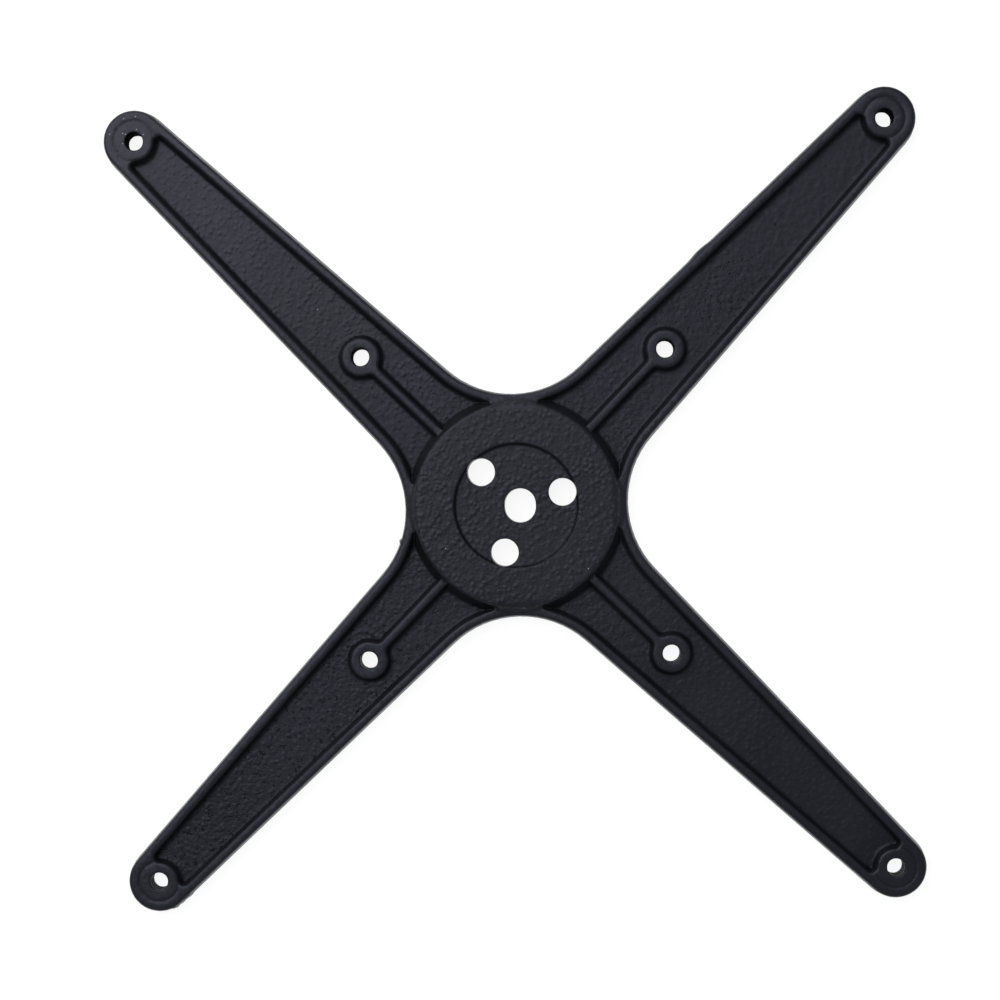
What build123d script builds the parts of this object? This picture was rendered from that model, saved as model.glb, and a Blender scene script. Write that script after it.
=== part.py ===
from build123d import *
import math
import os

# Cast-iron cross that joins a table's column to the underside of its top.
# Millimetres. The origin is the hub's centre on the flat back, +Z is towards the ribbed face,
# and the four arms lie at 45 degrees to X and Y.

# Plan of the cross
ARM_COUNT = 4
FIRST_ARM_ANGLE = 45.0
OUTER_HOLE_RADIUS = 210.0
INNER_HOLE_RADIUS = 85.8
TIP_RADIUS = 13.1
ARM_TAPER = 2.7
WAIST_RADIUS = 44.9

# Heights above the flat back
WEB_THICKNESS = 4.0
RIM_HEIGHT = 8.0
HUB_HEIGHT = 10.2

# Outer wall and rim
OUTER_DRAFT = 6.0
OUTER_SHOULDER_RADIUS = 1.7
RIM_FOOT_WIDTH = 6.0
POCKET_WALL_DRAFT = 17.0
POCKET_FOOT_HEIGHT = 0.6
POCKET_FOOT_DRAFT = 50.0
POCKET_MOUTH_BEVEL = 0.6
POCKET_CORNER_RADIUS = 0.7

# Screw bosses and the ribs that tie the inner ones to the hub
SCREW_HOLE_DIAMETER = 7.0
SCREW_HOLE_BEVEL = 0.4
BOSS_FOOT_RADIUS = 9.2
RIB_FOOT_WIDTH = 6.4
RIB_ROOT_RADIUS = 1.2
TIP_GROOVE_RADIUS = 8.1
TIP_GROOVE_WIDTH = 1.8
TIP_GROOVE_DEPTH = 0.35

# Hub
HUB_TOP_RADIUS = 40.6
HUB_WALL_DRAFT = 27.0
HUB_EDGE_RADIUS = 1.6
HUB_FOOT_RADIUS = 1.2
HUB_FOOT_DIP = 0.1
HUB_COLLAR_RADIUS = 1.2
RECESS_DIAMETER = 50.0
RECESS_DEPTH = 0.8
RECESS_DRAFT = 45.0
COLUMN_HOLE_COUNT = 3
COLUMN_HOLE_DIAMETER = 11.0
COLUMN_HOLE_CIRCLE = 38.6
FIRST_COLUMN_HOLE_ANGLE = 135.0
TIE_ROD_HOLE_WIDTH = 12.4
TIE_ROD_HOLE_LENGTH = 13.6
TIE_ROD_HOLE_OFFSET = 1.6

# A cutter stands this far clear of the faces that it opens
CUT_CLEARANCE = 2.0
TOLERANCE = 1e-4


def polar(radius, angle):
    """Point at a radius and an angle in degrees, in the plane of the back."""
    return Vector(radius * math.cos(math.radians(angle)), radius * math.sin(math.radians(angle)))


def run_of(height, draft):
    """Sideways run of a drafted wall of this height."""
    return height * math.tan(math.radians(draft))


def is_at(vertex, centre, radius):
    """Whether a corner of a plan lies on a circle."""
    return abs((Vector(vertex.X, vertex.Y) - centre).length - radius) < TOLERANCE


def is_level(edge, height):
    """Whether an edge lies flat at this height."""
    box = edge.bounding_box()
    return abs(box.min.Z - height) < TOLERANCE and abs(box.max.Z - height) < TOLERANCE


def circle_edges(body, radius, height):
    """Circular edges of a body with this radius, at this height."""
    circles = body.edges().filter_by(GeomType.CIRCLE)
    return [e for e in circles if is_level(e, height) and abs(e.radius - radius) < TOLERANCE]


def top_face(body):
    """Highest level face of a body."""
    return body.faces().filter_by(Axis.Z).sort_by(Axis.Z)[-1]


def arm_angles():
    """Angle of each arm's centreline."""
    return [FIRST_ARM_ANGLE + 360.0 / ARM_COUNT * index for index in range(ARM_COUNT)]


def waist_arc_centre():
    """Distance from the hub's centre to the centre of the arc between two arms.

    The arc touches the flank of each arm and passes WAIST_RADIUS from the hub's centre.
    """
    half_gap = math.radians(180.0 / ARM_COUNT)
    flank_angle = math.radians(ARM_TAPER)
    flank_distance = OUTER_HOLE_RADIUS * math.sin(flank_angle) + TIP_RADIUS
    reach = math.sin(half_gap + flank_angle)
    return (flank_distance - WAIST_RADIUS) / (reach - 1.0)


def cross_outline(inset):
    """Closed outline of the cross, moved inwards by inset: tip arcs, flanks and waist arcs."""
    tip_radius = TIP_RADIUS - inset
    centre_distance = waist_arc_centre()
    waist_arc_radius = centre_distance - WAIST_RADIUS + inset
    flank_normal = 90.0 - ARM_TAPER
    half_gap = 180.0 / ARM_COUNT
    edges = []
    for angle in arm_angles():
        tip = polar(OUTER_HOLE_RADIUS, angle)
        gap_after = polar(centre_distance, angle + half_gap)
        gap_before = polar(centre_distance, angle - half_gap)
        tip_start = tip + polar(tip_radius, angle - flank_normal)
        tip_end = tip + polar(tip_radius, angle + flank_normal)
        root_start = gap_before - polar(waist_arc_radius, angle - flank_normal)
        root_end = gap_after - polar(waist_arc_radius, angle + flank_normal)
        next_root = gap_after - polar(waist_arc_radius, angle + 2.0 * half_gap - flank_normal)
        edges.append(Line(root_start, tip_start))
        edges.append(ThreePointArc(tip_start, tip + polar(tip_radius, angle), tip_end))
        edges.append(Line(tip_end, root_end))
        waist = polar(WAIST_RADIUS - inset, angle + half_gap)
        edges.append(ThreePointArc(root_end, waist, next_root))
    return make_face(edges)


def rounded_blank():
    """Full cross with drafted sides and the rounded outer shoulder of the rim."""
    blank = extrude(cross_outline(0.0), RIM_HEIGHT, taper=OUTER_DRAFT)
    return fillet(top_face(blank).edges(), OUTER_SHOULDER_RADIUS)


def islands():
    """Plan of what rises from the pocket floors: the hub, the screw bosses and their ribs."""
    plan = Sketch() + Circle(HUB_TOP_RADIUS)
    for angle in arm_angles():
        plan += Pos(polar(OUTER_HOLE_RADIUS, angle)) * Circle(BOSS_FOOT_RADIUS)
        plan += Pos(polar(INNER_HOLE_RADIUS, angle)) * Circle(BOSS_FOOT_RADIUS)
        rib = Rectangle(INNER_HOLE_RADIUS, RIB_FOOT_WIDTH)
        plan += Pos(polar(INNER_HOLE_RADIUS / 2.0, angle)) * Rot(0, 0, angle) * rib
    return plan


def boss_corners(plan, hole_radius):
    """Corners of a plan that lie on the foot of the bosses at this radius."""
    centres = [polar(hole_radius, angle) for angle in arm_angles()]
    return [v for v in plan.vertices() if any(is_at(v, c, BOSS_FOOT_RADIUS) for c in centres)]


def pocket_floor_plan():
    """Floors of the pockets, which run inside the rim and round the islands."""
    plan = cross_outline(RIM_FOOT_WIDTH) - islands()
    plan = fillet(boss_corners(plan, INNER_HOLE_RADIUS), RIB_ROOT_RADIUS)
    ends = boss_corners(plan, OUTER_HOLE_RADIUS)
    ends += [v for v in plan.vertices() if is_at(v, Vector(0, 0), HUB_TOP_RADIUS)]
    return fillet(ends, POCKET_CORNER_RADIUS)


def pocket_cutters():
    """Cutters of the pockets, each with a flared foot under its drafted wall.

    A wall is drawn up from the depth where its slope would meet the floor's outline.
    """
    foot_top = WEB_THICKNESS + POCKET_FOOT_HEIGHT
    foot_run = run_of(POCKET_FOOT_HEIGHT, POCKET_FOOT_DRAFT)
    wall_root = foot_top - foot_run / run_of(1.0, POCKET_WALL_DRAFT)
    wall_height = RIM_HEIGHT + CUT_CLEARANCE - wall_root
    cutters = []
    for floor in pocket_floor_plan().faces():
        foot = extrude(Pos(0, 0, WEB_THICKNESS) * floor, POCKET_FOOT_HEIGHT, taper=-POCKET_FOOT_DRAFT)
        wall = extrude(Pos(0, 0, wall_root) * floor, wall_height, taper=-POCKET_WALL_DRAFT)
        cutters.append(foot + split(wall, Plane.XY.offset(foot_top)))
    return cutters


def hub_cone(foot_height, foot_radius):
    """Hub turned about Z, with a wall that slopes down to foot_height and rounded corners."""
    wall_foot = HUB_TOP_RADIUS + run_of(HUB_HEIGHT - foot_height, HUB_WALL_DRAFT)
    skirt = wall_foot + 2.0 * foot_radius
    profile = make_face(
        Polyline(
            (0, WEB_THICKNESS / 2.0),
            (skirt, WEB_THICKNESS / 2.0),
            (skirt, foot_height),
            (wall_foot, foot_height),
            (HUB_TOP_RADIUS, HUB_HEIGHT),
            (0, HUB_HEIGHT),
            close=True,
        )
    )
    disc = revolve(Plane.XZ * profile, Axis.Z)
    disc = fillet(circle_edges(disc, wall_foot, foot_height), foot_radius)
    return fillet(circle_edges(disc, HUB_TOP_RADIUS, HUB_HEIGHT), HUB_EDGE_RADIUS)


def hub_collar(rim_top, pockets):
    """Ring that blends the hub's wall into the top of the rim between two arms."""
    column = extrude(rim_top, HUB_HEIGHT, both=True)
    return (hub_cone(RIM_HEIGHT, HUB_COLLAR_RADIUS) & column) - pockets


def seat_recess():
    """Cutter of the round seat for the column, with a drafted edge."""
    lip = Pos(0, 0, HUB_HEIGHT) * Circle(RECESS_DIAMETER / 2.0)
    return extrude(lip, -RECESS_DEPTH, taper=RECESS_DRAFT)


def hub_pad():
    """Hub, trimmed so that its foot ends inside the rim between two arms."""
    pad = hub_cone(WEB_THICKNESS - HUB_FOOT_DIP, HUB_FOOT_RADIUS)
    return pad & extrude(cross_outline(RIM_FOOT_WIDTH / 2.0), HUB_HEIGHT + CUT_CLEARANCE)


def tip_groove():
    """Ring that sinks a shallow groove between a tip boss and the rim round it.

    Its sides rise through the rim's top, where the groove is TIP_GROOVE_WIDTH wide.
    """
    bottom = RIM_HEIGHT - TIP_GROOVE_DEPTH
    top = RIM_HEIGHT + TIP_GROOVE_DEPTH
    profile = make_face(
        Polyline(
            (TIP_GROOVE_RADIUS, bottom),
            (TIP_GROOVE_RADIUS + TIP_GROOVE_WIDTH, top),
            (TIP_GROOVE_RADIUS - TIP_GROOVE_WIDTH, top),
            close=True,
        )
    )
    return Pos(OUTER_HOLE_RADIUS, 0) * revolve(Plane.XZ * profile, Axis.Z)


def through_hole(plan):
    """Cutter of a hole right through the casting."""
    height = HUB_HEIGHT + 2.0 * CUT_CLEARANCE
    return extrude(Pos(0, 0, -CUT_CLEARANCE) * plan, height)


def screw_holes():
    """The two screw holes of one arm, drawn along +X."""
    hole = Circle(SCREW_HOLE_DIAMETER / 2.0)
    holes = Pos(INNER_HOLE_RADIUS, 0) * hole + Pos(OUTER_HOLE_RADIUS, 0) * hole
    return through_hole(holes)


def column_holes():
    """Bolt holes of the column, evenly spaced on their circle."""
    holes = Sketch()
    for index in range(COLUMN_HOLE_COUNT):
        angle = FIRST_COLUMN_HOLE_ANGLE + 360.0 / COLUMN_HOLE_COUNT * index
        holes += Pos(polar(COLUMN_HOLE_CIRCLE / 2.0, angle)) * Circle(COLUMN_HOLE_DIAMETER / 2.0)
    return through_hole(holes)


def tie_rod_hole():
    """Oval hole beside the hub's centre, for the rod that ties the table together."""
    slot = SlotOverall(TIE_ROD_HOLE_LENGTH, TIE_ROD_HOLE_WIDTH, rotation=90)
    return through_hole(Pos(TIE_ROD_HOLE_OFFSET, 0) * slot)


def ribbed_cross(blank, pockets):
    """Blank with its pockets cut, which leaves the rim, ribs and bosses, and with its screw holes."""
    body = blank - pockets
    mouths = [edge for edge in new_edges(blank, *pockets, combined=body) if is_level(edge, RIM_HEIGHT)]
    body = chamfer(mouths, POCKET_MOUTH_BEVEL)
    for angle in arm_angles():
        body = body - Rot(0, 0, angle) * tip_groove()
        body = body - Rot(0, 0, angle) * screw_holes()
    return chamfer(circle_edges(body, SCREW_HOLE_DIAMETER / 2.0, RIM_HEIGHT), SCREW_HOLE_BEVEL)


def cross_casting():
    """The whole casting, in one piece."""
    blank = rounded_blank()
    pockets = pocket_cutters()
    body = ribbed_cross(blank, pockets) + hub_collar(top_face(blank), pockets) + hub_pad()
    return body - seat_recess() - column_holes() - tie_rod_hole()


os.makedirs("parts", exist_ok=True)
casting = cross_casting()
export_step(casting, "parts/cross_casting.step")
print("cross_casting", round(casting.volume / 1000.0, 1), "cm3")
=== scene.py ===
"""Looks of a painted cast-iron table cross: cast skin, black paint, studio and camera."""
import logging
import math
from dataclasses import dataclass, field
from enum import Enum

import bmesh
import bpy
from mathutils import Matrix, Vector


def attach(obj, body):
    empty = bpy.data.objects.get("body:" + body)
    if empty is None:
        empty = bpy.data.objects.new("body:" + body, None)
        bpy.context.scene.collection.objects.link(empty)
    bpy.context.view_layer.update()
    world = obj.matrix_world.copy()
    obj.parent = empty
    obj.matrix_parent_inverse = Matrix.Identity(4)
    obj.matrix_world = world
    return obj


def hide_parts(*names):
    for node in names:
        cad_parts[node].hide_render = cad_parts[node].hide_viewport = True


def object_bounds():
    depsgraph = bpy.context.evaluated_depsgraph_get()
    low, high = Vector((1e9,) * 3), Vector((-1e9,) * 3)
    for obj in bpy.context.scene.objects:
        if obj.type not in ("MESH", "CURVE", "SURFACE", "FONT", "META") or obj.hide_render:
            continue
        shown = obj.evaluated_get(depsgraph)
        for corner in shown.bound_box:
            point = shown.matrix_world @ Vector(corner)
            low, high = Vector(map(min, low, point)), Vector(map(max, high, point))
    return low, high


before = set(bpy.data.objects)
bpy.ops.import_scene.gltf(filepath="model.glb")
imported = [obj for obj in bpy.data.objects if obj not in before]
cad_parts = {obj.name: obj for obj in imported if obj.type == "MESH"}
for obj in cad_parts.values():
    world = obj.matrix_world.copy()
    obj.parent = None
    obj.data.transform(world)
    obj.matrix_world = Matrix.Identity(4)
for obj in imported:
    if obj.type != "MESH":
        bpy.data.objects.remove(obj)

CAD_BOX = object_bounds()
BODY = "root"
CASTING_NODE = "cross_casting"
HOLLOW = "hollow"
MM = 0.001
SQUARE_FRAME = 1000.0

# Farther off than any two places on the casting, in metres.
FAR = 1.0

# A soft-edged spot keeps its full value out to this share of its radius.
SPOT_CORE = 0.6

log = logging.getLogger("table_cross")


class Surface(Enum):
    """Surfaces of the casting that carry a different depth of grain."""

    POCKET_FLOOR = "Pocket Floor"
    RIM = "Rim"
    HUB = "Hub"


class NodeTree:
    """Small helper that adds nodes and links to a shader or geometry tree."""

    def __init__(self, tree: bpy.types.NodeTree) -> None:
        """Take the tree to fill.

        Args:
            tree: the empty node tree.
        """
        self.tree = tree

    def add(self, kind: str, inputs: dict | None = None, **settings: object) -> bpy.types.Node:
        """Add one node.

        Args:
            kind: the node's type name.
            inputs: socket name or index to a value, or to an output socket to link.
            settings: attributes of the node itself.

        Returns:
            The new node.
        """
        node = self.tree.nodes.new(kind)
        for name, value in settings.items():
            setattr(node, name, value)
        for key, value in (inputs or {}).items():
            if isinstance(value, bpy.types.NodeSocket):
                self.tree.links.new(value, node.inputs[key])
            else:
                node.inputs[key].default_value = value
        return node

    def math(self, operation: str, *values: object, clamp: bool = False) -> bpy.types.NodeSocket:
        """Add a Math node.

        Args:
            operation: name of the operation.
            values: numbers or output sockets, in order.
            clamp: whether the result is kept from 0 to 1.

        Returns:
            The node's output.
        """
        inputs = dict(enumerate(values))
        return self.add("ShaderNodeMath", inputs, operation=operation, use_clamp=clamp).outputs[0]

    def vector(self, operation: str, output: int = 0, **values: object) -> bpy.types.NodeSocket:
        """Add a Vector Math node.

        Args:
            operation: name of the operation.
            output: index of the output wanted.
            values: a, b and scale, as numbers, vectors or output sockets.

        Returns:
            The node's output.
        """
        places = {"a": 0, "b": 1, "scale": "Scale"}
        inputs = {places[name]: value for name, value in values.items()}
        return self.add("ShaderNodeVectorMath", inputs, operation=operation).outputs[output]

    def ramp(self, value: object, low: object, high: object, to_low: float = 0.0,
             to_high: float = 1.0) -> bpy.types.NodeSocket:
        """Map a value smoothly from one range to another, clamped.

        Args:
            value: the value to map.
            low: where the output is to_low.
            high: where the output is to_high.
            to_low: output at low.
            to_high: output at high.

        Returns:
            The mapped value.
        """
        node = self.add("ShaderNodeMapRange", interpolation_type="SMOOTHSTEP")
        for name, given in (("Value", value), ("From Min", low), ("From Max", high),
                            ("To Min", to_low), ("To Max", to_high)):
            if isinstance(given, bpy.types.NodeSocket):
                self.tree.links.new(given, node.inputs[name])
            else:
                node.inputs[name].default_value = given
        return node.outputs["Result"]


@dataclass(frozen=True)
class Patch:
    """Round patch of the casting, seen in plan, whose grain, paint or painted light differs from
    the rest.
    """

    centre: tuple[float, float]
    radius: float
    grain: float
    pits: float = 0.0
    # Painted light: a gain on the sheen that makes the patch brighter or darker.
    painted_light_gain: float = 0.0
    warmth: float = 0.0


@dataclass(frozen=True)
class BlackPaint:
    """Satin black paint, sprayed over rough cast iron."""

    name: str = "satin_black_paint"
    dark: tuple[float, float, float] = (0.0070, 0.0072, 0.0096)
    light: tuple[float, float, float] = (0.0120, 0.0122, 0.0160)
    colour_clouds: float = 0.6
    colour_ends: tuple[float, float] = (0.36, 0.64)
    roughness: tuple[float, float] = (0.34, 0.46)
    roughness_ends: tuple[float, float] = (0.3, 0.7)
    # Sheen on the pockets' floors and on the rims; the floors' lower value is partly the paint's
    # own and partly painted shade.
    sheen: tuple[float, float] = (0.43, 0.50)
    sheen_tint: tuple[float, float, float] = (0.777, 0.795, 1.0)
    warm_red: float = 0.036
    cloud_size: float = 34.0 * MM
    grain_size: float = 1.25 * MM
    lump_size: float = 2.4 * MM
    lump_reach: float = 0.62
    lump_mean: float = 0.4
    # Painted highlight: extra sheen on the lumps' tops.
    lump_highlight: float = 0.11
    pit_size: float = 1.5 * MM
    pit_ends: tuple[float, float] = (0.57, 0.74)
    pit_step: float = 0.5 * MM
    fine_size: float = 0.5 * MM
    grain_height: float = 0.10 * MM
    lump_height: float = 0.11 * MM
    pit_depth: float = 0.14 * MM
    pit_shade: float = 0.50
    fine_height: float = 0.022 * MM
    floor_top: float = 4.9 * MM
    rim_top: float = 8.4 * MM
    step: float = 1.0 * MM
    rim_grain: float = 0.4
    least_grain: float = 0.35
    # The patches' sheen gains are painted light: the upper-left tip brighter, the hub and the two
    # right arms darker.
    patches: tuple[Patch, ...] = (
        Patch((0.0, 0.0), 60.0 * MM, 0.80, painted_light_gain=-0.13, warmth=0.9),
        Patch((0.0, 0.0), 95.0 * MM, 0.35, pits=0.5),
        Patch((-112.0 * MM, 112.0 * MM), 105.0 * MM, 1.15, warmth=0.9),
        Patch((-150.0 * MM, 150.0 * MM), 90.0 * MM, 0.0, painted_light_gain=0.15),
        Patch((-110.0 * MM, -110.0 * MM), 105.0 * MM, 0.80, pits=1.0, warmth=-1.0),
        Patch((115.0 * MM, -115.0 * MM), 105.0 * MM, 0.55, painted_light_gain=-0.06),
        Patch((115.0 * MM, 115.0 * MM), 105.0 * MM, 0.0, painted_light_gain=-0.09),
        Patch((80.0 * MM, 78.0 * MM), 32.0 * MM, 0.25, pits=0.5),
    )
    # Painted shade: the paint's colour and sheen are darkened at the foot of walls and inside the
    # screw holes.
    crease_ends: tuple[float, float] = (0.04 * MM, 0.20 * MM)
    crease_shade_level: float = 0.60
    crease_rag: float = 0.10 * MM
    bore_ends: tuple[float, float] = (0.3 * MM, 0.9 * MM)
    bore_shade_level: float = 0.10
    # Painted shade: a dark ring in the paint's colour and sheen along the step of the hub's seat.
    seat_shade_radius: float = 24.5 * MM
    seat_shade_width: float = 1.0 * MM
    seat_shade_level: float = 0.42
    speck: tuple[float, float, float] = (0.30, 0.30, 0.32)
    speck_radius: float = 0.32 * MM
    # Pale specks of dust on the paint; the one at (-158.0, 151.5), on the upper-left tip's outer
    # rim, is a painted highlight.
    dust_and_glint_specks_mm: tuple[tuple[float, float], ...] = (
        (-147.2, 153.1), (-152.8, 151.7), (-153.0, 147.7), (-144.5, 151.1), (-151.6, 151.3),
        (-152.2, 157.5), (-147.4, 158.2), (-158.0, 151.5), (-77.6, 80.4), (-28.5, -16.4),
        (28.2, -25.8),
    )

    def build(self) -> bpy.types.Material:
        """Make the material.

        Returns:
            The finished material.
        """
        material = bpy.data.materials.new(self.name)
        material.use_nodes = True
        material.node_tree.nodes.clear()
        nodes = NodeTree(material.node_tree)
        place = nodes.add("ShaderNodeTexCoord").outputs["Object"]
        height = nodes.add("ShaderNodeSeparateXYZ", {0: place}).outputs[2]
        flat = nodes.vector("MULTIPLY", a=place, b=(1.0, 1.0, 0.0))
        clouds = self.noise(nodes, place, self.cloud_size, 3.0)
        grain = self.noise(nodes, place, self.grain_size, 1.0)
        pits = self.pits(nodes, place, flat, height)
        lumps = self.lumps(nodes, place)
        strength = self.strength(nodes, flat, height)
        hollow = nodes.add("ShaderNodeAttribute", attribute_name=HOLLOW).outputs["Fac"]
        bore = nodes.ramp(hollow, *self.bore_ends)
        painted_shade = self.painted_shade(nodes, flat, height, grain, hollow, bore)
        # Painted shade: creases, holes, the seat's step and pits darken the paint's colour and
        # sheen.
        painted_shade_share = nodes.math("MULTIPLY", painted_shade,
                                nodes.math("MULTIPLY_ADD", pits, -self.pit_shade, 1.0))
        # Sheen lower on the pockets' floors: partly the paint's own, partly painted shade.
        sheen_with_floor_shade = nodes.ramp(height, self.floor_top, self.rim_top, *self.sheen)
        # Painted light: the sheen is raised or lowered patch by patch.
        sheen_with_patch_light = self.over_patches(nodes, flat, 1.0, [patch.painted_light_gain for patch in self.patches])
        # Painted highlight on the lumps' tops.
        on_lump = nodes.math("MULTIPLY", nodes.math("SUBTRACT", lumps, self.lump_mean), strength)
        sheen = nodes.math("MULTIPLY", nodes.math("MULTIPLY", sheen_with_floor_shade, sheen_with_patch_light),
                           nodes.math("MULTIPLY_ADD", on_lump, self.lump_highlight, 1.0))
        rough = nodes.ramp(clouds, *self.roughness_ends, *self.roughness)
        shader = nodes.add("ShaderNodeBsdfPrincipled", {
            "Base Color": self.colour(nodes, flat, clouds, grain, painted_shade_share),
            "Roughness": nodes.math("MAXIMUM", rough, bore),
            "Normal": self.bump(nodes, place, strength, grain, lumps, pits),
            "Specular IOR Level": nodes.math("MULTIPLY", painted_shade_share, sheen),
            "Specular Tint": self.tint(nodes, flat),
        })
        nodes.add("ShaderNodeOutputMaterial", {"Surface": shader.outputs["BSDF"]})
        return material

    def tint(self, nodes: NodeTree, flat: bpy.types.NodeSocket) -> bpy.types.NodeSocket:
        """Tint of the paint's sheen: bluish, and a little redder or greener in places.

        Args:
            nodes: the material's tree.
            flat: place in plan.

        Returns:
            The tint.
        """
        warmth = self.over_patches(nodes, flat, 0.0, [patch.warmth for patch in self.patches])
        red, green, blue = self.sheen_tint
        inputs = {0: nodes.math("MULTIPLY_ADD", warmth, self.warm_red, red), 1: green, 2: blue}
        return nodes.add("ShaderNodeCombineColor", inputs).outputs[0]

    def noise(self, nodes: NodeTree, place: bpy.types.NodeSocket, size: float,
              detail: float) -> bpy.types.NodeSocket:
        """Noise with features of one size.

        Args:
            nodes: the material's tree.
            place: coordinates, in metres.
            size: size of a feature, in metres.
            detail: number of finer layers.

        Returns:
            The noise value, about 0 to 1.
        """
        inputs = {"Vector": place, "Scale": 1.0 / size, "Detail": detail, "Roughness": 0.5}
        return nodes.add("ShaderNodeTexNoise", inputs).outputs[0]

    def over_patches(self, nodes: NodeTree, flat: bpy.types.NodeSocket, least: float,
                     gains: list[float]) -> bpy.types.NodeSocket:
        """Add up what each patch brings to a spot.

        Args:
            nodes: the material's tree.
            flat: place in plan.
            least: value away from every patch.
            gains: what each patch adds at its middle.

        Returns:
            The total.
        """
        total = least
        for patch, gain in zip(self.patches, gains):
            if gain:
                apart = nodes.vector("DISTANCE", output=1, a=flat, b=(*patch.centre, 0.0))
                part = nodes.ramp(apart, SPOT_CORE * patch.radius, patch.radius, gain, 0.0)
                total = nodes.math("ADD", total, part)
        return total

    def pits(self, nodes: NodeTree, place: bpy.types.NodeSocket, flat: bpy.types.NodeSocket,
             height: bpy.types.NodeSocket) -> bpy.types.NodeSocket:
        """Small dark pits in the roughest parts of the pockets' floors.

        Args:
            nodes: the material's tree.
            place: coordinates, in metres.
            flat: place in plan.
            height: height above the back.

        Returns:
            1 inside a pit, 0 outside.
        """
        share = self.over_patches(nodes, flat, 0.0, [patch.pits for patch in self.patches])
        on_floor = nodes.ramp(height, self.floor_top, self.floor_top + self.pit_step, 1.0, 0.0)
        share = nodes.math("MULTIPLY", share, on_floor)
        hollow = nodes.ramp(self.noise(nodes, place, self.pit_size, 1.0), *self.pit_ends)
        return nodes.math("MULTIPLY", hollow, share)

    def strength(self, nodes: NodeTree, flat: bpy.types.NodeSocket,
                 height: bpy.types.NodeSocket) -> bpy.types.NodeSocket:
        """How rough the casting is at a spot: less on the rims than on the floors and the hub.

        Args:
            nodes: the material's tree.
            flat: place in plan.
            height: height above the back.

        Returns:
            A factor for the height of the grain.
        """
        total = self.over_patches(nodes, flat, self.least_grain,
                                  [patch.grain for patch in self.patches])
        above_floor = nodes.ramp(
            height, self.floor_top, self.floor_top + self.step, 1.0, self.rim_grain)
        on_hub = nodes.ramp(
            height, self.rim_top, self.rim_top + self.step, 0.0, 1.0 - self.rim_grain)
        return nodes.math("MULTIPLY", total, nodes.math("ADD", above_floor, on_hub))

    def painted_shade(self, nodes: NodeTree, flat: bpy.types.NodeSocket, height: bpy.types.NodeSocket,
                 grain: bpy.types.NodeSocket, hollow: bpy.types.NodeSocket,
                 bore: bpy.types.NodeSocket) -> bpy.types.NodeSocket:
        """Painted shade, as a factor on the paint: low at the foot of walls, inside holes and at
        the seat's step.

        Args:
            nodes: the material's tree.
            flat: place in plan.
            height: height above the back.
            grain: fine noise that makes the edge of the dark line ragged.
            hollow: how far the spot lies below its surroundings.
            bore: 1 inside a dark hole.

        Returns:
            A factor up to 1.
        """
        rag = nodes.math("MULTIPLY_ADD", grain, self.crease_rag, -0.5 * self.crease_rag)
        ragged = nodes.math("ADD", hollow, rag)
        # Painted shade in the creases at the foot of walls.
        crease_shade = nodes.ramp(ragged, *self.crease_ends, 1.0, self.crease_shade_level)
        # Painted shade inside the screw holes.
        in_bore = nodes.math("MULTIPLY_ADD", bore, self.bore_shade_level - 1.0, 1.0)
        # Painted shade along the seat's step, on the hub's top only.
        radius = nodes.vector("LENGTH", output=1, a=flat)
        off_line = nodes.math("ABSOLUTE", nodes.math("SUBTRACT", radius, self.seat_shade_radius))
        off_line = nodes.math("MAXIMUM", off_line, nodes.math("SUBTRACT", self.rim_top, height))
        seat_shade = nodes.ramp(off_line, 0.0, self.seat_shade_width, self.seat_shade_level, 1.0)
        return nodes.math("MULTIPLY", nodes.math("MULTIPLY", crease_shade, in_bore), seat_shade)

    def colour(self, nodes: NodeTree, flat: bpy.types.NodeSocket, clouds: bpy.types.NodeSocket,
               grain: bpy.types.NodeSocket,
               painted_shade_share: bpy.types.NodeSocket) -> bpy.types.NodeSocket:
        """Colour of the paint, a little paler where it is thin, darkened by the painted shade, with
        a few pale specks: dust, and one painted highlight on the rim.

        Args:
            nodes: the material's tree.
            flat: place in plan.
            clouds: broad noise.
            grain: fine noise.
            painted_shade_share: painted shade of creases, holes, the seat's step and pits.

        Returns:
            The colour.
        """
        mixed = nodes.math("ADD", nodes.math("MULTIPLY", clouds, self.colour_clouds),
                           nodes.math("MULTIPLY", grain, 1.0 - self.colour_clouds))
        share = nodes.ramp(mixed, *self.colour_ends)
        paint = nodes.add("ShaderNodeMix", {0: share, 6: (*self.dark, 1.0), 7: (*self.light, 1.0)},
                          data_type="RGBA").outputs[2]
        shaded = nodes.vector("SCALE", a=paint, scale=painted_shade_share)
        # Pale specks: dust, and one painted highlight on the rim.
        nearest = FAR
        for x, y in self.dust_and_glint_specks_mm:
            apart = nodes.vector("DISTANCE", output=1, a=flat, b=(x * MM, y * MM, 0.0))
            nearest = nodes.math("MINIMUM", nearest, apart)
        shown = nodes.ramp(nearest, SPOT_CORE * self.speck_radius, self.speck_radius, 1.0, 0.0)
        return nodes.add("ShaderNodeMix", {0: shown, 6: shaded, 7: (*self.speck, 1.0)},
                         data_type="RGBA").outputs[2]

    def lumps(self, nodes: NodeTree, place: bpy.types.NodeSocket) -> bpy.types.NodeSocket:
        """Round lumps of the cast skin under the paint.

        Args:
            nodes: the material's tree.
            place: coordinates, in metres.

        Returns:
            1 on top of a lump, 0 between lumps.
        """
        inputs = {"Vector": place, "Scale": 1.0 / self.lump_size}
        apart = nodes.add("ShaderNodeTexVoronoi", inputs).outputs["Distance"]
        return nodes.ramp(apart, 0.0, self.lump_reach, 1.0, 0.0)

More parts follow.
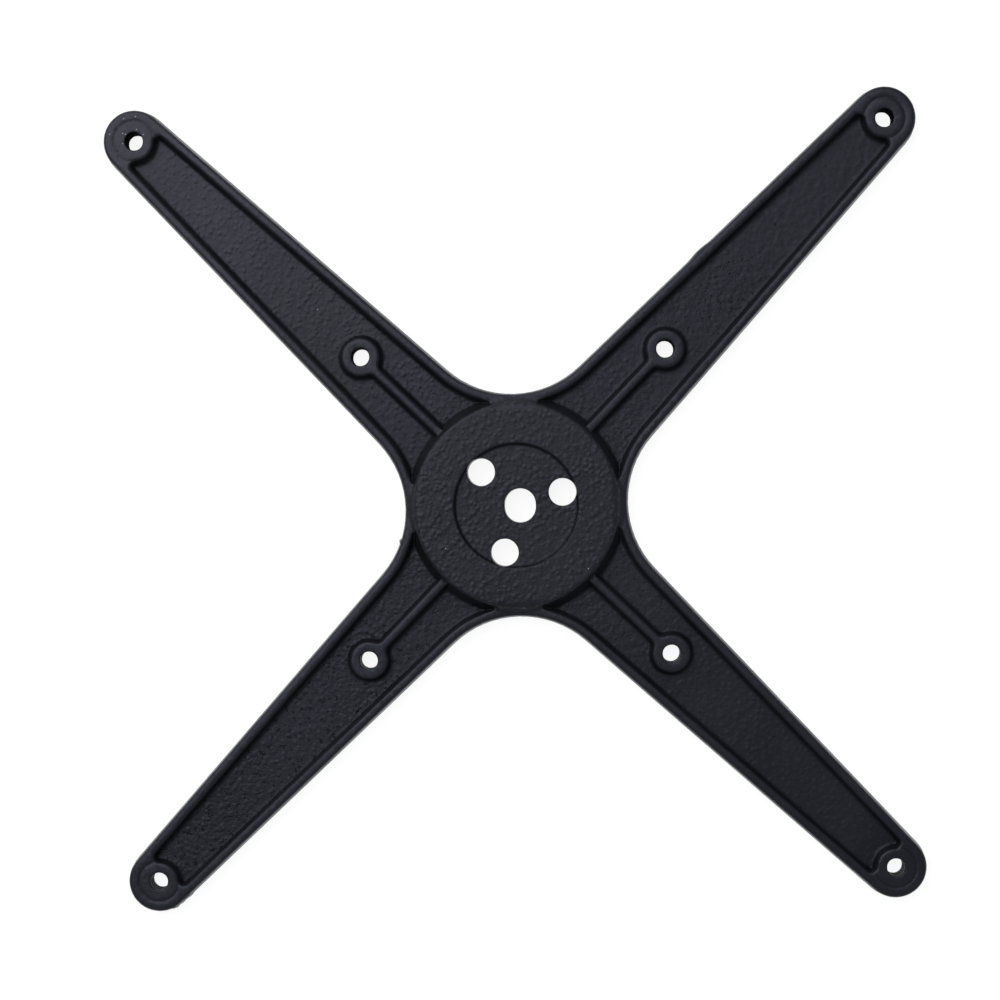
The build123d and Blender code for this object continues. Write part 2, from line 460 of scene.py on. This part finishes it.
    def bump(self, nodes: NodeTree, place: bpy.types.NodeSocket, strength: bpy.types.NodeSocket,
             grain: bpy.types.NodeSocket, lumps: bpy.types.NodeSocket,
             pits: bpy.types.NodeSocket) -> bpy.types.NodeSocket:
        """Fine relief of the paint over the cast skin: round lumps, grain and pits.

        Args:
            nodes: the material's tree.
            place: coordinates, in metres.
            strength: how rough the casting is here.
            grain: the finer noise.
            lumps: 1 on top of a lump.
            pits: 1 inside a pit.

        Returns:
            The bumped normal.
        """
        relief = nodes.math("MULTIPLY", lumps, self.lump_height)
        relief = nodes.math("MULTIPLY_ADD", grain, self.grain_height, relief)
        fine = self.noise(nodes, place, self.fine_size, 1.0)
        relief = nodes.math("MULTIPLY_ADD", fine, self.fine_height, relief)
        relief = nodes.math("MULTIPLY", relief, strength)
        relief = nodes.math("MULTIPLY_ADD", pits, -self.pit_depth, relief)
        return nodes.add("ShaderNodeBump", {"Strength": 1.0, "Distance": 1.0,
                                            "Height": relief}).outputs["Normal"]


@dataclass(frozen=True)
class StudioWhite:
    """White paper that reads white in the picture and still takes the object's shadow."""

    name: str = "white_paper"
    colour: tuple[float, float, float] = (0.86, 0.86, 0.86)
    seen_colour: tuple[float, float, float] = (0.23, 0.23, 0.23)
    glow: float = 0.89

    def build(self) -> bpy.types.Material:
        """Make the material.

        Returns:
            The finished material.
        """
        material = bpy.data.materials.new(self.name)
        material.use_nodes = True
        material.node_tree.nodes.clear()
        nodes = NodeTree(material.node_tree)
        path = nodes.add("ShaderNodeLightPath").outputs
        seen = nodes.math("ADD", path["Is Camera Ray"], path["Is Glossy Ray"], clamp=True)
        paper = nodes.add("ShaderNodeBsdfDiffuse", {"Color": (*self.colour, 1.0)}).outputs[0]
        shaded = nodes.add("ShaderNodeBsdfDiffuse", {"Color": (*self.seen_colour, 1.0)}).outputs[0]
        glow = nodes.add("ShaderNodeEmission", {"Strength": self.glow}).outputs[0]
        white = nodes.add("ShaderNodeAddShader", {0: shaded, 1: glow}).outputs[0]
        both = nodes.add("ShaderNodeMixShader", {0: seen, 1: paper, 2: white}).outputs[0]
        nodes.add("ShaderNodeOutputMaterial", {"Surface": both})
        return material


@dataclass(frozen=True)
class Flash:
    """Small remnant of the mould's parting line, proud of the casting's outer wall."""

    centre: tuple[float, float]
    radius: float
    height: float


@dataclass
class CrossCasting:
    """The one-piece casting, with the form of its solid and a rough cast skin."""

    name: str = "painted_casting"
    weld: float = 0.0001 * MM
    facet: float = 0.42 * MM
    crease_softness: float = 0.5
    crease_passes: int = 2
    most_triangles: int = 190000
    grain_size: float = 2.3 * MM
    grain_ends: tuple[float, float] = (0.25, 0.75)
    depths: dict[Surface, float] = field(default_factory=lambda: {
        Surface.POCKET_FLOOR: 0.12 * MM,
        Surface.RIM: 0.06 * MM,
        Surface.HUB: 0.13 * MM,
    })
    floor_top: float = 4.7 * MM
    hub_bottom: float = 8.4 * MM
    least_depth: float = 0.015 * MM
    step: float = 1.0 * MM
    back_fade: float = 2.0 * MM
    hollow_passes: int = 8
    collar_passes: int = 30
    collar_inside: float = 39.0 * MM
    collar_outside: float = 44.3 * MM
    collar_half_width: float = 9.5 * MM
    collar_inner_step: float = 1.5 * MM
    collar_heights: tuple[float, float] = (7.4 * MM, 7.9 * MM)
    bore_circles: tuple[float, float] = (210.0 * MM, 85.8 * MM)
    bore_radius: float = 3.6 * MM
    # Painted shade: what the screw holes add to the hollow note, which the paint darkens; more in
    # the two arms towards +Y.
    bore_shade_notes: tuple[float, float] = (0.60 * MM, 1.0 * MM)
    flash: tuple[Flash, ...] = (
        Flash((-142.7 * MM, -160.2 * MM), 1.6 * MM, 0.55 * MM),
        Flash((-139.9 * MM, -159.0 * MM), 1.6 * MM, 0.35 * MM),
        Flash((-136.8 * MM, -155.6 * MM), 3.0 * MM, 0.40 * MM),
        Flash((75.1 * MM, 99.3 * MM), 7.5 * MM, 0.55 * MM),
        Flash((-47.1 * MM, -13.1 * MM), 1.5 * MM, 0.65 * MM),
    )
    flash_top: float = 6.3 * MM
    seed: float = 5.0
    finish: BlackPaint = field(default_factory=BlackPaint)

    def build(self) -> bpy.types.Object:
        """Make the piece.

        Returns:
            The finished piece, at the origin.
        """
        piece = self.even_copy(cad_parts[CASTING_NODE])
        self.grow_skin(piece)
        self.dress(piece)
        return piece

    def dress(self, piece: bpy.types.Object) -> None:
        """Hang the piece on the body it moves with, and hide the solid's node that it replaces.

        Args:
            piece: the finished piece.
        """
        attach(piece, BODY)
        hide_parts(CASTING_NODE)

    def even_copy(self, node: bpy.types.Object) -> bpy.types.Object:
        """Copy a node's mesh and give it small even facets and softly rounded creases.

        Args:
            node: the node's object.

        Returns:
            A new object with the live modifiers that even it out.
        """
        bm = bmesh.new()
        bm.from_mesh(node.data)
        bmesh.ops.remove_doubles(bm, verts=bm.verts, dist=self.weld)
        mesh = bpy.data.meshes.new(self.name)
        bm.to_mesh(mesh)
        bm.free()
        piece = bpy.data.objects.new(self.name, mesh)
        bpy.context.scene.collection.objects.link(piece)
        even = piece.modifiers.new("even_facets", "REMESH")
        even.mode = "VOXEL"
        even.voxel_size = self.facet
        even.use_smooth_shade = True
        seat = piece.modifiers.new("seat_on_solid", "SHRINKWRAP")
        seat.target = node
        seat.wrap_method = "NEAREST_SURFACEPOINT"
        soften = piece.modifiers.new("soften_creases", "SMOOTH")
        soften.factor = self.crease_softness
        soften.iterations = self.crease_passes
        return piece

    def grow_skin(self, piece: bpy.types.Object) -> None:
        """Give the piece its cast skin with a node tree, and keep the result as its mesh.

        Args:
            piece: the smooth piece.
        """
        tree = self.skin_tree()
        modifier = piece.modifiers.new("cast_skin", "NODES")
        modifier.node_group = tree
        values = {
            "Grain Size": self.grain_size, "Seed": self.seed, "Floor Top": self.floor_top,
            "Hub Bottom": self.hub_bottom, "Least Depth": self.least_depth,
            "Flash Top": self.flash_top, "Hollow Passes": self.hollow_passes,
            "Collar Passes": self.collar_passes, "Collar Inside": self.collar_inside,
            "Collar Outside": self.collar_outside, "Collar Half Width": self.collar_half_width,
            "Bore Radius": self.bore_radius, "Paint": self.finish.build(),
        }
        for surface, depth in self.depths.items():
            values[f"{surface.value} Depth"] = depth
        for item in tree.interface.items_tree:
            if item.in_out == "INPUT" and item.name in values:
                modifier[item.identifier] = values[item.name]
        piece.data = self.settled_mesh(piece)
        triangles = sum(len(face.vertices) - 2 for face in piece.data.polygons)
        thin = piece.modifiers.new("thin_flats", "DECIMATE")
        thin.ratio = self.most_triangles / triangles
        piece.data = self.settled_mesh(piece)

    def settled_mesh(self, piece: bpy.types.Object) -> bpy.types.Mesh:
        """Turn a piece with live modifiers into a plain mesh, and take the modifiers off.

        Args:
            piece: the object with its modifiers.

        Returns:
            The plain mesh.
        """
        evaluated = piece.evaluated_get(bpy.context.evaluated_depsgraph_get())
        mesh = bpy.data.meshes.new_from_object(evaluated)
        piece.modifiers.clear()
        mesh.name = self.name
        return mesh

    def skin_tree(self) -> bpy.types.NodeTree:
        """Build the node tree of the cast skin.

        It softens the hub's edge where that meets the rim, notes how hollow each point lies, and
        sinks the points into the solid by noise. The remnants of the parting line rise from the
        outer wall, where the solid's box has room for them.

        Returns:
            The tree.
        """
        tree = bpy.data.node_groups.new("cast_skin", "GeometryNodeTree")
        face = tree.interface
        face.new_socket("Geometry", in_out="INPUT", socket_type="NodeSocketGeometry")
        for name in ("Grain Size", "Seed", "Floor Top", "Hub Bottom", "Least Depth", "Flash Top",
                     "Collar Inside", "Collar Outside", "Collar Half Width", "Bore Radius",
                     *(f"{surface.value} Depth" for surface in Surface)):
            face.new_socket(name, in_out="INPUT", socket_type="NodeSocketFloat")
        for name in ("Hollow Passes", "Collar Passes"):
            face.new_socket(name, in_out="INPUT", socket_type="NodeSocketInt")
        face.new_socket("Paint", in_out="INPUT", socket_type="NodeSocketMaterial")
        face.new_socket("Geometry", in_out="OUTPUT", socket_type="NodeSocketGeometry")
        nodes = NodeTree(tree)
        given = nodes.add("NodeGroupInput").outputs
        soft = self.soften_collar(nodes, given)
        noted = self.note_hollows(nodes, given, soft)
        moved = nodes.add("GeometryNodeSetPosition", {"Geometry": noted,
                                                      "Offset": self.skin_move(nodes, given)})
        real = nodes.add("GeometryNodeRealizeInstances", {0: moved.outputs[0]})
        painted = nodes.add("GeometryNodeSetMaterial", {"Geometry": real.outputs[0],
                                                        "Material": given["Paint"]})
        nodes.add("NodeGroupOutput", {0: painted.outputs[0]})
        return tree

    def blurred_place(self, nodes: NodeTree, passes: bpy.types.NodeSocket) -> bpy.types.NodeSocket:
        """Each point's place, averaged with its neighbours'.

        Args:
            nodes: the skin's tree.
            passes: number of rounds.

        Returns:
            The averaged place.
        """
        place = nodes.add("GeometryNodeInputPosition").outputs[0]
        return nodes.add("GeometryNodeBlurAttribute", {"Value": place, "Iterations": passes},
                         data_type="FLOAT_VECTOR").outputs[0]

    def soften_collar(self, nodes: NodeTree, given: bpy.types.NodeInputs) -> bpy.types.NodeSocket:
        """Round the hub's edge off where it meets the rim, between each two arms.

        Args:
            nodes: the skin's tree.
            given: the tree's inputs.

        Returns:
            The softened geometry.
        """
        place = nodes.add("GeometryNodeInputPosition").outputs[0]
        flat = nodes.vector("MULTIPLY", a=place, b=(1.0, 1.0, 0.0))
        radius = nodes.vector("LENGTH", output=1, a=flat)
        parts = nodes.add("ShaderNodeSeparateXYZ", {0: nodes.vector("ABSOLUTE", a=place)}).outputs
        aside = nodes.math("MINIMUM", parts[0], parts[1])
        inside, outside = given["Collar Inside"], given["Collar Outside"]
        half = given["Collar Half Width"]
        from_inside = nodes.math("SUBTRACT", inside, self.collar_inner_step)
        from_outside = nodes.math("SUBTRACT", outside, self.step)
        from_aside = nodes.math("MULTIPLY", half, SPOT_CORE)
        share = nodes.math("MULTIPLY", nodes.ramp(radius, from_inside, inside),
                           nodes.ramp(radius, from_outside, outside, 1.0, 0.0))
        share = nodes.math("MULTIPLY", share, nodes.ramp(aside, from_aside, half, 1.0, 0.0))
        share = nodes.math("MULTIPLY", share, nodes.ramp(parts[2], *self.collar_heights))
        even = nodes.add("ShaderNodeMix", {0: share, 4: place,
                                           5: self.blurred_place(nodes, given["Collar Passes"])},
                         data_type="VECTOR").outputs[1]
        return nodes.add("GeometryNodeSetPosition", {"Geometry": given["Geometry"],
                                                     "Position": even}).outputs[0]

    def note_hollows(self, nodes: NodeTree, given: bpy.types.NodeInputs,
                     geometry: bpy.types.NodeSocket) -> bpy.types.NodeSocket:
        """Note on each point how far it lies below its surroundings.

        Inside a screw hole a set amount is added, which is more in the two arms towards +Y; the
        paint turns it into painted shade, darkest in the holes of those two arms.

        Args:
            nodes: the skin's tree.
            given: the tree's inputs.
            geometry: the softened geometry.

        Returns:
            The geometry with the note.
        """
        place = nodes.add("GeometryNodeInputPosition").outputs[0]
        normal = nodes.add("GeometryNodeInputNormal").outputs[0]
        around = self.blurred_place(nodes, given["Hollow Passes"])
        away = nodes.vector("SUBTRACT", a=around, b=place)
        hollow = nodes.vector("DOT_PRODUCT", output=1, a=away, b=normal)
        folded = nodes.vector("MULTIPLY", a=nodes.vector("ABSOLUTE", a=place), b=(1.0, 1.0, 0.0))
        across = nodes.add("ShaderNodeSeparateXYZ", {0: place}).outputs[1]
        note = nodes.ramp(across, -self.step, self.step, *self.bore_shade_notes)
        for circle in self.bore_circles:
            along = circle / math.sqrt(2.0)
            apart = nodes.vector("DISTANCE", output=1, a=folded, b=(along, along, 0.0))
            in_bore = nodes.math("LESS_THAN", apart, given["Bore Radius"])
            hollow = nodes.math("MULTIPLY_ADD", in_bore, note, hollow)
        return nodes.add("GeometryNodeStoreNamedAttribute",
                         {"Geometry": geometry, "Name": HOLLOW, "Value": hollow},
                         data_type="FLOAT", domain="POINT").outputs[0]

    def skin_move(self, nodes: NodeTree, given: bpy.types.NodeInputs) -> bpy.types.NodeSocket:
        """How each point moves along its normal.

        It sinks into the solid by a depth that differs with the surface, and rises at the
        remnants of the parting line.

        Args:
            nodes: the skin's tree.
            given: the tree's inputs.

        Returns:
            The offset.
        """
        place = nodes.add("GeometryNodeInputPosition").outputs[0]
        normal = nodes.add("GeometryNodeInputNormal").outputs[0]
        height = nodes.add("ShaderNodeSeparateXYZ", {0: place}).outputs[2]
        scale = nodes.math("DIVIDE", 1.0, given["Grain Size"])
        grain = nodes.add("ShaderNodeTexNoise", {
            "Vector": place, "W": given["Seed"], "Scale": scale, "Detail": 2.0, "Roughness": 0.5,
        }, noise_dimensions="4D").outputs[0]
        relief = nodes.ramp(grain, *self.grain_ends)
        floor_top, hub_bottom = given["Floor Top"], given["Hub Bottom"]
        flash_top = given["Flash Top"]
        on_rim = nodes.ramp(height, floor_top, nodes.math("ADD", floor_top, self.step))
        on_hub = nodes.ramp(height, hub_bottom, nodes.math("ADD", hub_bottom, self.step))
        depth = nodes.add("ShaderNodeMix", {0: on_rim, 2: given["Pocket Floor Depth"],
                                            3: given["Rim Depth"]}).outputs[0]
        depth = nodes.add("ShaderNodeMix", {0: on_hub, 2: depth, 3: given["Hub Depth"]}).outputs[0]
        depth = nodes.math("MULTIPLY_ADD", relief, depth, given["Least Depth"])
        depth = nodes.math("MULTIPLY", depth, nodes.ramp(height, 0.0, self.back_fade))
        flat = nodes.vector("MULTIPLY", a=place, b=(1.0, 1.0, 0.0))
        proud = 0.0
        for remnant in self.flash:
            apart = nodes.vector("DISTANCE", output=1, a=flat, b=(*remnant.centre, 0.0))
            rise = nodes.ramp(apart, 0.0, remnant.radius, remnant.height, 0.0)
            proud = nodes.math("ADD", proud, rise)
        below = nodes.ramp(height, flash_top, nodes.math("ADD", flash_top, self.step), 1.0, 0.0)
        off_back = nodes.ramp(height, 0.0, self.step)
        proud = nodes.math("MULTIPLY", proud, nodes.math("MULTIPLY", below, off_back))
        move = nodes.math("SUBTRACT", proud, depth)
        return nodes.vector("SCALE", a=normal, scale=move)


@dataclass
class Studio:
    """White floor, a large soft lamp at the upper left and a dim even surround."""

    floor_half: float = 1.6
    floor_gap: float = 0.2 * MM
    key_size: float = 1.73
    key_place: tuple[float, float, float] = (-0.53, 0.68, 1.23)
    key_power: float = 14.5
    surround: tuple[float, float] = (0.30, 0.34)
    surround_ends: tuple[float, float] = (0.1, 0.9)
    surround_tint: tuple[float, float, float] = (0.94, 0.98, 1.0)
    finish: StudioWhite = field(default_factory=StudioWhite)

    def build(self) -> None:
        """Make the floor, the lamps and the world."""
        self.floor()
        self.lamp("key", self.key_place, self.key_size, self.key_power)
        self.world()

    def floor(self) -> bpy.types.Object:
        """Make the floor, just under the casting's flat back.

        Returns:
            The floor.
        """
        low = CAD_BOX[0].z - self.floor_gap
        half = self.floor_half
        corners = [(-half, -half, low), (half, -half, low), (half, half, low), (-half, half, low)]
        mesh = bpy.data.meshes.new("floor")
        mesh.from_pydata(corners, [], [(0, 1, 2, 3)])
        mesh.materials.append(self.finish.build())
        floor = bpy.data.objects.new("floor", mesh)
        bpy.context.scene.collection.objects.link(floor)
        return floor

    def lamp(self, name: str, place: tuple[float, float, float], size: float, power: float) -> None:
        """Hang one square soft lamp, turned to the object.

        Args:
            name: the lamp's name.
            place: where it hangs.
            size: its side.
            power: its power in watts.
        """
        data = bpy.data.lights.new(name, "AREA")
        data.size = size
        data.energy = power
        lamp = bpy.data.objects.new(name, data)
        lamp.location = place
        lamp.rotation_mode = "QUATERNION"
        lamp.rotation_quaternion = (-Vector(place)).to_track_quat("-Z", "Y")
        bpy.context.scene.collection.objects.link(lamp)

    def world(self) -> None:
        """Give an even dim surround, which the camera sees as white."""
        world = bpy.data.worlds.new("surround")
        world.use_nodes = True
        world.node_tree.nodes.clear()
        nodes = NodeTree(world.node_tree)
        way = nodes.add("ShaderNodeTexCoord").outputs["Generated"]
        rise = nodes.add("ShaderNodeSeparateXYZ", {0: way}).outputs[2]
        dim = nodes.ramp(rise, *self.surround_ends, *self.surround)
        seen = nodes.add("ShaderNodeLightPath").outputs["Is Camera Ray"]
        level = nodes.add("ShaderNodeMix", {0: seen, 2: dim, 3: 1.0}).outputs[0]
        tint = nodes.add("ShaderNodeMix", {0: seen, 6: (*self.surround_tint, 1.0),
                                           7: (1.0, 1.0, 1.0, 1.0)}, data_type="RGBA").outputs[2]
        light = nodes.add("ShaderNodeBackground", {"Color": tint, "Strength": level})
        nodes.add("ShaderNodeOutputWorld", {"Surface": light.outputs[0]})
        bpy.context.scene.world = world


@dataclass
class PhotoCamera:
    """Camera at the photograph's place, from a fit of the casting's holes and edges."""

    turn: tuple[float, float, float] = (0.04804, -0.03131, 0.02461)
    offset_mm: tuple[float, float, float] = (6.08, -36.0, 765.85)
    focal_pixels: float = 1900.0
    shift_pixels: tuple[float, float] = (1.5, 94.8)
    sensor: float = 36.0

    def build(self) -> bpy.types.Object:
        """Make the camera and give it to the scene.

        Returns:
            The camera.
        """
        turn = Vector(self.turn)
        into_view = Matrix.Rotation(turn.length, 3, turn.normalized())
        flip = Matrix.Diagonal((1.0, -1.0, -1.0))
        place = -(into_view.transposed() @ flip @ Vector(self.offset_mm)) * MM
        data = bpy.data.cameras.new("photo_camera")
        data.sensor_width = self.sensor
        data.lens = self.focal_pixels / SQUARE_FRAME * self.sensor
        data.shift_x = -self.shift_pixels[0] / SQUARE_FRAME
        data.shift_y = self.shift_pixels[1] / SQUARE_FRAME
        camera = bpy.data.objects.new("photo_camera", data)
        camera.matrix_world = Matrix.Translation(place) @ into_view.transposed().to_4x4()
        bpy.context.scene.collection.objects.link(camera)
        bpy.context.scene.camera = camera
        return camera


def main() -> None:
    """Build the casting, the studio and the camera."""
    logging.basicConfig(level=logging.INFO, format="%(name)s: %(message)s")
    casting = CrossCasting().build()
    log.info("%s: %d facets", casting.name, len(casting.data.polygons))
    Studio().build()
    PhotoCamera().build()
    bpy.context.scene.view_settings.view_transform = "Standard"


if __name__ == "__main__":
    main()
